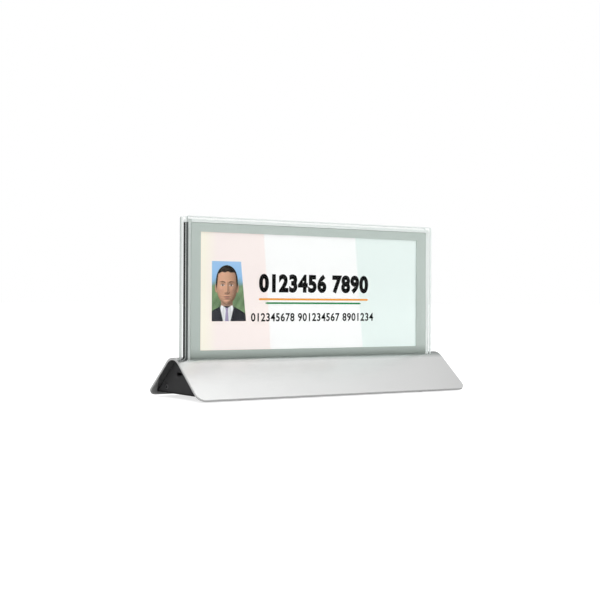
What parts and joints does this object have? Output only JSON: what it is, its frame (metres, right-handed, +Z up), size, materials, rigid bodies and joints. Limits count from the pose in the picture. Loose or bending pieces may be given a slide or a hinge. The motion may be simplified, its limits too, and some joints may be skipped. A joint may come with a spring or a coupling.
{
  "type": "electronic nameplate",
  "caption": "Desk nameplate: a clear-edged double-sided display panel stands in a roof-shaped aluminium base with dark end caps, a charging port and a push button.",
  "frame": {"origin": "on the table, under the middle of the base", "axes": "+X along the base to the right as seen from the front, +Y from the front to the rear, +Z up"},
  "size_m": [0.277, 0.0896, 0.1503],
  "materials": {
    "satin_aluminium": "satin anodised",
    "dark_plastic": "fine matt grain",
    "black_rubber": "matt",
    "clear_acrylic": "polished clear",
    "grey_border": "printed grey",
    "dark_display": "dark layers with a printed picture area",
    "white_frame": "white moulding",
    "steel": "plain",
    "dark_steel": "blackened",
    "circuit_board": "green solder mask",
    "connector_plastic": "plain",
    "cable_film": "amber film",
    "battery_wrap": "blue wrap",
    "foam": "soft foam",
    "button_plastic": "satin"
  },
  "bodies": {
    "base": {"base_shell": "satin_aluminium", "battery_connector": "connector_plastic", "battery_lead": "black_rubber", "battery_pack": "battery_wrap", "battery_pad": "foam", "board_screw_front_left": "steel", "board_screw_front_right": "steel", "board_screw_rear_left": "steel", "board_screw_rear_right": "steel", "bottom_cover": "dark_plastic", "button_board": "circuit_board", "button_cable": "cable_film", "button_switch": "dark_steel", "cap_screw_left_front": "dark_steel", "cap_screw_left_rear": "dark_steel", "cap_screw_right_front": "dark_steel", "cap_screw_right_rear": "dark_steel", "cover_screw_left_front": "dark_steel", "cover_screw_left_rear": "dark_steel", "cover_screw_right_front": "dark_steel", "cover_screw_right_rear": "dark_steel", "cradle_screw_left": "dark_steel", "cradle_screw_right": "dark_steel", "display_connector_front": "connector_plastic", "display_connector_rear": "connector_plastic", "edge_strip_left": "black_rubber", "edge_strip_right": "black_rubber", "end_cap_left": "dark_plastic", "end_cap_right": "dark_plastic", "foot_front_left": "black_rubber", "foot_front_right": "black_rubber", "foot_rear_left": "black_rubber", "foot_rear_right": "black_rubber", "front_acrylic": "clear_acrylic", "front_bezel": "grey_border", "front_display": "dark_display", "front_ribbon": "cable_film", "main_board": "circuit_board", "mid_frame": "white_frame", "panel_cradle": "satin_aluminium", "processor_shield": "steel", "radio_module": "steel", "rear_acrylic": "clear_acrylic", "rear_bezel": "grey_border", "rear_display": "dark_display", "rear_ribbon": "cable_film", "slot_seal_front": "black_rubber", "slot_seal_rear": "black_rubber", "usb_board": "circuit_board", "usb_c_port": "steel", "usb_cable": "cable_film"},
    "power_button": {"power_button": "button_plastic"}
  },
  "joints": [
    {"name": "button_press", "type": "slide", "parent": "base", "child": "power_button", "axis": [-1, 0, 0], "range_m": [0, 0.0006], "stiffness_N_per_m": 1500}
  ]
}
